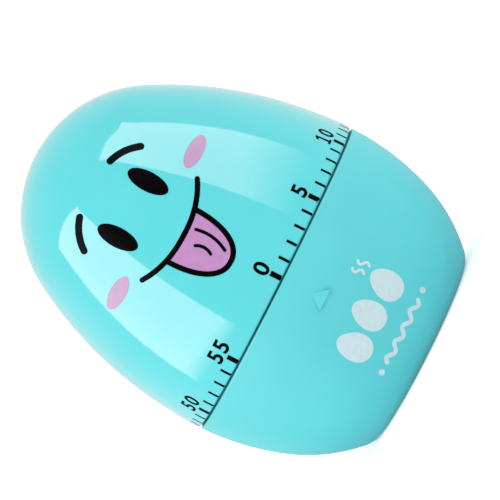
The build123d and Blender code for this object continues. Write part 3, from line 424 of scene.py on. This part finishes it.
def cut_fine(mesh, step):
    """Cuts a flat print in the XZ plane along a square grid, so that it can follow a curve."""
    work = bmesh.new()
    work.from_mesh(mesh)
    bmesh.ops.remove_doubles(work, verts=work.verts, dist=0.0005 * MM)
    bmesh.ops.triangulate(work, faces=work.faces, ngon_method="EAR_CLIP")
    for axis in (Vector((1, 0, 0)), Vector((0, 0, 1))):
        reach = [axis.dot(v.co) for v in work.verts]
        for line in range(int(np.ceil(min(reach) / step)), int(max(reach) / step) + 1):
            everything = work.verts[:] + work.edges[:] + work.faces[:]
            bmesh.ops.bisect_plane(
                work, geom=everything, dist=SLIVER, plane_co=axis * line * step, plane_no=axis
            )
    bmesh.ops.dissolve_degenerate(work, edges=work.edges, dist=SLIVER)
    bmesh.ops.triangulate(work, faces=work.faces, ngon_method="BEAUTY")
    bmesh.ops.beautify_fill(work, faces=work.faces, edges=work.edges)
    for face in work.faces:
        if face.normal.y > 0:
            face.normal_flip()
    work.to_mesh(mesh)
    work.free()


def figure_mesh(figure):
    """One figure as a flat mesh in the XZ plane, one unit tall, centred, with its foot at z = 0."""
    if figure == "1":
        work = bmesh.new()
        work.faces.new([work.verts.new((x, 0, z)) for x, z in FIGURE_ONE])
        mesh = bpy.data.meshes.new("figure_1")
        work.to_mesh(mesh)
        work.free()
        return mesh
    lettering = bpy.data.curves.new("figure_" + figure, "FONT")
    lettering.body = figure
    lettering.offset = FIGURE_BOLD
    holder = new_piece("figure_" + figure, lettering)
    bpy.context.view_layer.update()
    evaluated = holder.evaluated_get(bpy.context.evaluated_depsgraph_get())
    mesh = bpy.data.meshes.new_from_object(evaluated)
    bpy.data.objects.remove(holder)
    corners = np.array([v.co for v in mesh.vertices])
    low, high = corners.min(0), corners.max(0)
    size = 1 / (high[1] - low[1])
    middle = (low[0] + high[0]) / 2
    mesh.transform(Matrix.Translation((-middle, -low[1], 0)))
    widen = Matrix.Scale(FIGURE_WIDEN, 4, (1, 0, 0))
    mesh.transform(Matrix.Rotation(pi / 2, 4, "X") @ widen @ Matrix.Scale(size, 4))
    return mesh


def joined(name, meshes):
    """One mesh of several."""
    work = bmesh.new()
    for mesh in meshes:
        work.from_mesh(mesh)
    whole = bpy.data.meshes.new(name)
    work.to_mesh(whole)
    work.free()
    return whole


number_meshes = []
for minute in range(0, MARKS, 5):
    figures = str(minute)
    for place, figure in enumerate(figures):
        mesh = figure_mesh(figure)
        mesh.transform(Matrix.Scale(NUMBER_TALL, 4))
        cut_fine(mesh, FACET)
        mesh.transform(Matrix.Translation((0, -EGG_RADIUS - MARK_CLEAR, NUMBER_FOOT)))
        aside = (place - (len(figures) - 1) / 2) * FIGURE_ADVANCE
        mesh.transform(Matrix.Rotation(MARK_START + minute * MARK_PITCH + aside, 4, "Z"))
        number_meshes.append(mesh)
minute_numbers = new_piece("minute_numbers", joined("minute_numbers", number_meshes))
pad_print(minute_numbers, "upper_shell", "dial", ink, 1.0)


# ---- Printed face ---------------------------------------------------------------------------
# A cartoon face is pad printed on the front of the dial from straight ahead: black brows, eyes,
# mouth and tongue outline, pink cheeks and a lilac tongue. Nobody in particular.

FACE_MIDDLE = -0.98 * MM
FACE_TILT = radians(-1.8)
FACE_PIVOT = 53.0 * MM
PRINT_DISTANCE = EGG_RADIUS + 5 * MM
FACE_DROP = 0.37 * MM
BROW_THICK = 1.25 * MM
LINE_THICK = 0.95 * MM
CREASE_THICK = 0.58 * MM
ROUND_STEPS = 48
CAP_STEPS = 10


def ellipse(across, up, half_wide, half_tall, lean=0.0, taper=0.0):
    """An ellipse's outline round (across, up), leaning to the right and narrowing upwards."""
    outline = []
    for step in range(ROUND_STEPS):
        turn = 2 * pi * step / ROUND_STEPS
        x, z = half_wide * cos(turn) * (1 - taper * sin(turn)), half_tall * sin(turn)
        outline.append((across + x * cos(lean) + z * sin(lean), up - x * sin(lean) + z * cos(lean)))
    return outline


def stroke(path, thick):
    """The outline of a line of even thickness along a path, with round ends."""
    path = [Vector(point) for point in path]
    ahead = [(b - a).normalized() for a, b in zip(path, path[1:])]
    along = [ahead[0]] + [(a + b).normalized() for a, b in zip(ahead, ahead[1:])] + [ahead[-1]]
    side = [Vector((-d.y, d.x)) * thick / 2 for d in along]
    left = [point + s for point, s in zip(path, side)]
    right = [point - s for point, s in zip(path, side)]

    def cap(centre, start):
        turns = [pi * step / CAP_STEPS for step in range(1, CAP_STEPS)]
        return [centre + Matrix.Rotation(-turn, 2) @ start for turn in turns]

    return left + cap(path[-1], side[-1]) + right[::-1] + cap(path[0], -side[0])


def bow(start, end, rise, steps=24):
    """Points along an arc from start to end that bows out by rise to its left."""
    start, end = Vector(start), Vector(end)
    half = (end - start) / 2
    out = Vector((-half.y, half.x)).normalized()
    points = []
    for step in range(steps + 1):
        share = 2 * step / steps - 1
        points.append(start + half * (1 + share) + out * rise * (1 - share * share))
    return points


def flat_print(name, outlines, distance, middle, tilt=0.0, pivot=0.0, drop=0.0):
    """Outlines given as (across, up) as one flat mesh in front of the egg, cut fine."""
    work = bmesh.new()
    for outline in outlines:
        work.faces.new([work.verts.new((x, 0, z)) for x, z in outline])
    mesh = bpy.data.meshes.new(name)
    work.to_mesh(mesh)
    work.free()
    cut_fine(mesh, FACET)
    mesh.transform(Matrix.Translation((0, 0, -pivot)))
    mesh.transform(Matrix.Rotation(-tilt, 4, "Y"))
    mesh.transform(Matrix.Translation((middle, -distance, pivot - drop)))
    return new_piece(name, mesh)


def both_sides(outline):
    """An outline and its mirror image across the middle of the face."""
    return [outline, [(-x, z) for x, z in outline]]


def face_print(name, outlines, colour, film=INK_FILM):
    """One colour of the face, printed on the dial."""
    piece = flat_print(
        name, outlines, PRINT_DISTANCE, FACE_MIDDLE, FACE_TILT, FACE_PIVOT, FACE_DROP
    )
    pad_print(piece, "upper_shell", "dial", colour, 0.0, film)


brow = stroke(bow((5.5 * MM, 64.85 * MM), (10.25 * MM, 61.4 * MM), 0.50 * MM), BROW_THICK)
face_print("brows", both_sides(brow), ink)
face_print("eyes", both_sides(ellipse(5.45 * MM, 57.4 * MM, 1.72 * MM, 3.88 * MM)), ink)

PINK_LOW = (0.200, 0.086, 0.200, 1)
PINK_HIGH = (0.220, 0.096, 0.220, 1)
blush, shader = pad_ink("pink_pad_print", PINK_LOW, PINK_HIGH, 0.10, 0.18, blotch=0.8 * MM)
lacquer(shader, 0.4, 0.04)
face_print("cheeks", both_sides(ellipse(13.85 * MM, 52.8 * MM, 3.2 * MM, 1.45 * MM)), blush)

MOUTH_REACH = 9.85 * MM
MOUTH_CORNER = 50.2 * MM
MOUTH_LOW = 47.65 * MM
MOUTH_CURVE = 2.4
MOUTH_POINTS = 41
TONGUE_HALF = 5.05 * MM
TONGUE_TIP = 38.5 * MM
TONGUE_FULLNESS = 2.25


def mouth_height(across):
    """How high the mouth's line runs at a place across the face."""
    return MOUTH_LOW + (MOUTH_CORNER - MOUTH_LOW) * abs(across / MOUTH_REACH) ** MOUTH_CURVE


def tongue_edge():
    """From the mouth down one side of the tongue, round its tip and up the other side."""
    top = mouth_height(TONGUE_HALF)
    points = []
    for step in range(ROUND_STEPS + 1):
        turn = pi * step / ROUND_STEPS
        across = abs(cos(turn)) ** (2 / TONGUE_FULLNESS)
        down = sin(turn) ** (2 / TONGUE_FULLNESS)
        side = 1 if turn > pi / 2 else -1
        points.append((side * TONGUE_HALF * across, top - (top - TONGUE_TIP) * down))
    return points


mouth_path = []
for across in np.linspace(-MOUTH_REACH, MOUTH_REACH, MOUTH_POINTS):
    mouth_path.append((across, mouth_height(across)))
tongue_rim = tongue_edge()
short_crease = bow((-0.40 * MM, 42.1 * MM), (-0.40 * MM, 45.1 * MM), -0.45 * MM)
long_crease = bow((1.28 * MM, 40.3 * MM), (2.08 * MM, 46.3 * MM), -0.60 * MM)
face_print(
    "mouth_lines",
    [
        stroke(mouth_path, LINE_THICK),
        stroke(tongue_rim, LINE_THICK),
        stroke(short_crease, CREASE_THICK),
        stroke(long_crease, CREASE_THICK),
    ],
    ink,
)

LILAC_LOW = (0.285, 0.130, 0.290, 1)
LILAC_HIGH = (0.305, 0.145, 0.312, 1)
UNDER_FILM = 0.7 * INK_FILM
lilac, shader = pad_ink("lilac_pad_print", LILAC_LOW, LILAC_HIGH, 0.10, 0.18, blotch=0.8 * MM)
lacquer(shader, 0.4, 0.04)
face_print("tongue", [tongue_rim], lilac, UNDER_FILM)


# ---- Printed motif --------------------------------------------------------------------------
# A pale decoration below the arrow, pad printed on the standing half: three plain eggs over a
# wavy line between two dots, with two wisps of steam.

MOTIF_MIDDLE = 1.4 * MM
PRINTED_EGG_WIDE = 5.0 * MM
PRINTED_EGG_TALL = 6.6 * MM
EGG_TAPER = 0.16
DOT_WIDE = 1.1 * MM
WAVE_HEIGHT = 6.2 * MM
WAVE_THICK = 0.75 * MM
STEAM_TALL = 2.2 * MM
STEAM_SWAY = 0.45 * MM
STEAM_THICK = 0.45 * MM

PALE_LOW = (0.33, 0.44, 0.48, 1)
PALE_HIGH = (0.36, 0.47, 0.51, 1)
pale_ink, shader = pad_ink(
    "pale_pad_print", PALE_LOW, PALE_HIGH, 0.35, 0.45, blotch=0.7 * MM, relief=0.3
)


def small_egg(across, up, lean):
    """The outline of a plain egg, which is narrower at its upper end."""
    return ellipse(across, up, PRINTED_EGG_WIDE / 2, PRINTED_EGG_TALL / 2, radians(lean), EGG_TAPER)


def wave(start, end, up, rise, waves, steps=60):
    """Points along a level wavy line."""
    points = []
    for step in range(steps + 1):
        share = step / steps
        points.append((start + (end - start) * share, up + rise * sin(2 * pi * waves * share)))
    return points


def wisp(across, low, steps=20):
    """Points up one curl of steam."""
    points = []
    for step in range(steps + 1):
        share = step / steps
        points.append((across + STEAM_SWAY * sin(2 * pi * share), low + STEAM_TALL * share))
    return points


motif = flat_print(
    "motif",
    [
        small_egg(-6.2 * MM, 12.6 * MM, -8),
        small_egg(-0.2 * MM, 12.9 * MM, 4),
        small_egg(5.8 * MM, 12.5 * MM, 12),
        ellipse(-8.0 * MM, WAVE_HEIGHT, DOT_WIDE / 2, DOT_WIDE / 2),
        ellipse(7.8 * MM, WAVE_HEIGHT, DOT_WIDE / 2, DOT_WIDE / 2),
        stroke(wave(-6.1 * MM, 5.9 * MM, WAVE_HEIGHT, 0.5 * MM, 4), WAVE_THICK),
        stroke(wisp(5.6 * MM, 16.9 * MM), STEAM_THICK),
        stroke(wisp(7.2 * MM, 16.6 * MM), STEAM_THICK),
    ],
    PRINT_DISTANCE,
    MOTIF_MIDDLE,
)
pad_print(motif, "lower_shell", "case", pale_ink, 0.0)


# ---- Bottom cover ---------------------------------------------------------------------------
# A flat disc in the foot, moulded in the same turquoise, with slots that let the bell ring out.

cover, shader, where = new_material("cover_turquoise_abs")
tint(cover, shader, noise(cover, where, 10 * MM), (0.030, 0.46, 0.47, 1), (0.036, 0.50, 0.51, 1))
vary_roughness(cover, shader, noise(cover, where, 1.5 * MM), 0.42, 0.55)
raise_bumps(cover, shader, noise(cover, where, 0.3 * MM), 0.02 * MM, 0.35)
give(["bottom_cover"], cover)


# ---- Screws ---------------------------------------------------------------------------------
# Zinc plated cross-head screws hold the cover, the movement, the carrier and the bell.

zinc, shader, where = new_material("zinc_plated_steel")
shader.inputs["Metallic"].default_value = 1.0
tint(zinc, shader, noise(zinc, where, 1.2 * MM), (0.46, 0.47, 0.49, 1), (0.60, 0.60, 0.59, 1))
vary_roughness(zinc, shader, noise(zinc, where, 0.5 * MM), 0.22, 0.38)
raise_bumps(zinc, shader, noise(zinc, where, 0.15 * MM), 0.006 * MM, 0.3)
give(["bottom_cover_screws", "movement_screws", "carrier_screws", "bell_screw"], zinc)


# ---- Movement plates ------------------------------------------------------------------------
# Two discs stamped from zinc plated sheet. Rolling leaves a fine grain one way across them.

sheet, shader, where = new_material("rolled_steel_sheet")
shader.inputs["Metallic"].default_value = 1.0
grain = noise(sheet, where, 0.4 * MM, 4.0, (1.0, 0.04, 1.0))
tint(sheet, shader, grain, (0.44, 0.45, 0.46, 1), (0.58, 0.58, 0.57, 1))
vary_roughness(sheet, shader, grain, 0.28, 0.44)
raise_bumps(sheet, shader, grain, 0.004 * MM, 0.35)
give(["base_plate", "top_plate", "release_lever"], sheet)


# ---- Arbors, posts and pillars --------------------------------------------------------------
# Bright steel turned on an automatic lathe, with fine rings left by the tool along its length.

turned_steel, shader, where = new_material("turned_bright_steel")
shader.inputs["Metallic"].default_value = 1.0
rings = noise(turned_steel, where, 0.12 * MM, 2.0, (0.02, 0.02, 1.0))
tint(turned_steel, shader, rings, (0.50, 0.50, 0.51, 1), (0.62, 0.62, 0.62, 1))
vary_roughness(turned_steel, shader, rings, 0.16, 0.30)
raise_bumps(turned_steel, shader, rings, 0.003 * MM, 0.4)
give(
    [
        "plate_pillars",
        "spring_post",
        "stop_post",
        "lever_post",
        "main_arbor",
        "second_arbor",
        "third_arbor",
        "escape_arbor",
        "pallet_arbor",
        "hammer_arbor",
        "hammer_arm",
        "hammer_tail",
        "bell_post",
    ],
    turned_steel,
)


# ---- Brass wheels, nuts and balance ---------------------------------------------------------
# Wheels stamped from hard brass strip, and turned brass nuts and bush, slightly tarnished.

brass, shader, where = new_material("stamped_brass")
shader.inputs["Metallic"].default_value = 1.0
tint(brass, shader, noise(brass, where, 2.5 * MM, 5.0), (0.58, 0.40, 0.14, 1), (0.74, 0.54, 0.22, 1))
vary_roughness(brass, shader, noise(brass, where, 0.8 * MM), 0.20, 0.36)
raise_bumps(brass, shader, noise(brass, where, 0.1 * MM), 0.004 * MM, 0.3)
give(
    ["great_wheel", "second_wheel", "strike_wheel", "balance_bar", "main_bush", "pillar_nuts"],
    brass,
)


# ---- Nylon wheels and cam -------------------------------------------------------------------
# The light, fast wheels, the pallet anchor and the cam are moulded in natural nylon.

nylon, shader, where = new_material("natural_nylon")
tint(nylon, shader, noise(nylon, where, 2 * MM), (0.68, 0.65, 0.56, 1), (0.76, 0.73, 0.64, 1))
vary_roughness(nylon, shader, noise(nylon, where, 0.8 * MM), 0.35, 0.50)
raise_bumps(nylon, shader, noise(nylon, where, 0.2 * MM), 0.01 * MM, 0.2)
shader.inputs["Subsurface Weight"].default_value = 0.15
shader.inputs["Subsurface Scale"].default_value = 0.5 * MM
give(["third_wheel", "escape_wheel", "pallet_anchor", "stop_cam"], nylon)


# ---- Dial carrier ---------------------------------------------------------------------------
# The ribbed white disc between the dial half and the winding shaft, moulded in ABS.

white, shader, where = new_material("white_abs")
tint(white, shader, noise(white, where, 6 * MM), (0.74, 0.75, 0.74, 1), (0.82, 0.82, 0.80, 1))
vary_roughness(white, shader, noise(white, where, 2 * MM), 0.30, 0.42)
raise_bumps(white, shader, noise(white, where, 0.4 * MM), 0.01 * MM, 0.2)
give(["dial_carrier"], white)


# ---- Springs --------------------------------------------------------------------------------
# The mainspring, the clutch spring and the circlip are hardened steel with a blued surface.

blued, shader, where = new_material("blued_spring_steel")
shader.inputs["Metallic"].default_value = 1.0
tint(blued, shader, noise(blued, where, 1.5 * MM), (0.10, 0.13, 0.22, 1), (0.22, 0.24, 0.30, 1))
vary_roughness(blued, shader, noise(blued, where, 0.6 * MM), 0.22, 0.36)
raise_bumps(blued, shader, noise(blued, where, 0.1 * MM), 0.003 * MM, 0.3)
give(["mainspring", "clutch_spring", "circlip"], blued)


# ---- Bell -----------------------------------------------------------------------------------
# A drawn steel cup with bright nickel plating, spun smooth, so its faint rings run round it.

nickel, shader, where = new_material("nickel_plate")
shader.inputs["Metallic"].default_value = 1.0
tint(nickel, shader, noise(nickel, where, 3 * MM), (0.62, 0.61, 0.58, 1), (0.72, 0.71, 0.68, 1))
vary_roughness(nickel, shader, noise(nickel, where, 0.3 * MM, 2.0, (0.05, 0.05, 1.0)), 0.08, 0.18)
raise_bumps(nickel, shader, noise(nickel, where, 0.5 * MM), 0.003 * MM, 0.2)
give(["bell"], nickel)


# ---- Stage, lights and camera ---------------------------------------------------------------
# A white paper sweep under and behind the timer, a tall softbox on each side of it, and a strip
# light that washes the paper. The camera looks at the face from above the seam, rolled over.

SWEEP_HALF = 2.4
SWEEP_BACK = 1.3
SWEEP_BEND = 0.5
SWEEP_TOP = 2.4
FLOOR = -0.05 * MM
BEND_STEPS = 16
PAPER_GLOW = 0.25
STUDIO_GLOW = 0.9
UNDER_GLOW = 0.3
GLOW_FADE = (-0.40, -0.05)
SOFTBOX_DISTANCE = 0.8
SOFTBOX_HEIGHT = 0.91
SOFTBOX_TALL = 1.68
WASH_WIDE = 2.6
WASH_DEEP = 0.4
WASH_POWER = 12
WASH_SPREAD = radians(62)
WASH_PLACE = (0, 0.45, 2.3)
WASH_AIM = Vector((0, 1.3, 0.4))
SHOULDER_START = 0.72
SHOULDER_END = 0.90


def sweep_mesh():
    """A floor that bends up into a back wall, a hair below the timer's foot."""
    profile = [(-SWEEP_BACK, FLOOR), (SWEEP_BACK - SWEEP_BEND, FLOOR)]
    for step in range(1, BEND_STEPS + 1):
        turn = pi / 2 * step / BEND_STEPS
        profile.append(
            (
                SWEEP_BACK - SWEEP_BEND + SWEEP_BEND * sin(turn),
                FLOOR + SWEEP_BEND - SWEEP_BEND * cos(turn),
            )
        )
    profile.append((SWEEP_BACK, SWEEP_TOP))
    corners = [(x, y, z) for x in (-SWEEP_HALF, SWEEP_HALF) for y, z in profile]
    count = len(profile)
    faces = [(count + k, count + k + 1, k + 1, k) for k in range(count - 1)]
    mesh = bpy.data.meshes.new("sweep")
    mesh.from_pydata(corners, [], faces)
    mesh.update()
    return mesh


sweep = new_piece("sweep", sweep_mesh())
paper, shader, where = new_material("white_paper")
shader.inputs["Emission Color"].default_value = (1, 1, 1, 1)
shader.inputs["Emission Strength"].default_value = PAPER_GLOW
shader.inputs["Base Color"].default_value = (0.92, 0.92, 0.92, 1)
shader.inputs["Roughness"].default_value = 0.9
# The paper shows from above only, so that the timer's underside can be seen.
one_sided = add(paper.node_tree, "ShaderNodeMixShader")
facing = add(paper.node_tree, "ShaderNodeNewGeometry")
clear = add(paper.node_tree, "ShaderNodeBsdfTransparent")
paper_output = paper.node_tree.nodes["Material Output"]
paper.node_tree.links.new(facing.outputs["Backfacing"], one_sided.inputs[0])
paper.node_tree.links.new(shader.outputs["BSDF"], one_sided.inputs[1])
paper.node_tree.links.new(clear.outputs[0], one_sided.inputs[2])
paper.node_tree.links.new(one_sided.outputs[0], paper_output.inputs["Surface"])
sweep.data.materials.append(paper)
for polygon in sweep.data.polygons:
    polygon.use_smooth = True
sweep.visible_glossy = False

world = bpy.data.worlds.new("studio")
world.use_nodes = True
background = world.node_tree.nodes["Background"]
background.inputs["Color"].default_value = (1, 1, 1, 1)
sky = add(world.node_tree, "ShaderNodeTexCoord")
upward = add(world.node_tree, "ShaderNodeSeparateXYZ")
glow = add(world.node_tree, "ShaderNodeMapRange", {"interpolation_type": "SMOOTHSTEP"})
glow.inputs["From Min"].default_value, glow.inputs["From Max"].default_value = GLOW_FADE
glow.inputs["To Min"].default_value = UNDER_GLOW
glow.inputs["To Max"].default_value = STUDIO_GLOW
world.node_tree.links.new(sky.outputs["Generated"], upward.inputs["Vector"])
world.node_tree.links.new(upward.outputs["Z"], glow.inputs["Value"])
world.node_tree.links.new(glow.outputs["Result"], background.inputs["Strength"])
bpy.context.scene.world = world


def softbox(name, bearing, width, power, low_share, outer_share, foot_fade):
    """An upright panel of light that faces the egg from a bearing, 0 being the camera's side.

    It dims to low_share at its foot, where it fades out over foot_fade of its height, and its
    top slopes down, away from the camera, to outer_share of its height.
    """
    light = bpy.data.lights.new(name, "AREA")
    light.shape = "RECTANGLE"
    light.size = width
    light.size_y = SOFTBOX_TALL
    light.energy = power
    light.use_nodes = True
    tree = light.node_tree
    link = tree.links.new
    left_top, right_top = (1.0, outer_share) if bearing > 0 else (outer_share, 1.0)
    spot = add(tree, "ShaderNodeNewGeometry")
    split = add(tree, "ShaderNodeSeparateXYZ")
    dim = add(tree, "ShaderNodeMapRange", To_Min=low_share)
    foot = add(tree, "ShaderNodeMapRange", From_Max=foot_fade)
    slope = add(tree, "ShaderNodeMapRange", To_Min=left_top, To_Max=right_top)
    below = add(tree, "ShaderNodeMath", {"operation": "LESS_THAN"})
    masked = add(tree, "ShaderNodeMath", {"operation": "MULTIPLY"})
    strength = add(tree, "ShaderNodeMath", {"operation": "MULTIPLY"})
    link(spot.outputs["Parametric"], split.inputs["Vector"])
    link(split.outputs["Y"], dim.inputs["Value"])
    link(split.outputs["Y"], foot.inputs["Value"])
    link(split.outputs["X"], slope.inputs["Value"])
    link(split.outputs["Y"], below.inputs[0])
    link(slope.outputs["Result"], below.inputs[1])
    link(dim.outputs["Result"], masked.inputs[0])
    link(below.outputs[0], masked.inputs[1])
    link(masked.outputs[0], strength.inputs[0])
    link(foot.outputs["Result"], strength.inputs[1])
    link(strength.outputs[0], tree.nodes["Emission"].inputs["Strength"])
    lamp = bpy.data.objects.new(name, light)
    turn = radians(bearing)
    lamp.location = (
        SOFTBOX_DISTANCE * sin(turn),
        -SOFTBOX_DISTANCE * cos(turn),
        SOFTBOX_HEIGHT,
    )
    towards = Vector((0, 0, SOFTBOX_HEIGHT)) - lamp.location
    lamp.rotation_euler = towards.to_track_quat("-Z", "Y").to_euler()
    bpy.context.scene.collection.objects.link(lamp)


softbox(
    "left_softbox",
    bearing=-69,
    width=0.85,
    power=22,
    low_share=0.72,
    outer_share=0.56,
    foot_fade=0.04,
)
softbox(
    "right_softbox",
    bearing=67,
    width=0.78,
    power=17.5,
    low_share=0.62,
    outer_share=0.52,
    foot_fade=0.14,
)

wash = bpy.data.lights.new("wall_wash", "AREA")
wash.shape = "RECTANGLE"
wash.size = WASH_WIDE
wash.size_y = WASH_DEEP
wash.energy = WASH_POWER
wash.spread = WASH_SPREAD
washer = bpy.data.objects.new("wall_wash", wash)
washer.visible_glossy = False
washer.location = WASH_PLACE
washer.rotation_euler = (WASH_AIM - washer.location).to_track_quat("-Z", "Y").to_euler()
bpy.context.scene.collection.objects.link(washer)

CAMERA_DISTANCE = 0.590
CAMERA_HEIGHT = 51.7 * MM
CAMERA_BEARING = radians(-0.7)
CAMERA_ROLL = radians(-63.3)
VIEW_WIDTH = 89.36 * MM
AIM = Vector((2.36 * MM, 0.0, 35.29 * MM))

lens = bpy.data.cameras.new("camera")
lens.lens = lens.sensor_width * CAMERA_DISTANCE / VIEW_WIDTH
lens.clip_start = 0.01
camera = bpy.data.objects.new("camera", lens)
camera.location = (
    CAMERA_DISTANCE * sin(CAMERA_BEARING),
    -CAMERA_DISTANCE * cos(CAMERA_BEARING),
    CAMERA_HEIGHT,
)
look = (AIM - camera.location).to_track_quat("-Z", "Y").to_matrix()
camera.rotation_euler = (look @ Matrix.Rotation(CAMERA_ROLL, 3, "Z")).to_euler()
bpy.context.scene.collection.objects.link(camera)
bpy.context.scene.camera = camera

view = bpy.context.scene.view_settings
view.view_transform = "Standard"
view.use_curve_mapping = True
shoulder = view.curve_mapping
shoulder.extend = "EXTRAPOLATED"
all_channels = shoulder.curves[3]
all_channels.points[1].location = (1.0, SHOULDER_END)
all_channels.points.new(SHOULDER_START, SHOULDER_START)
for point in all_channels.points:
    point.handle_type = "VECTOR"
shoulder.update()
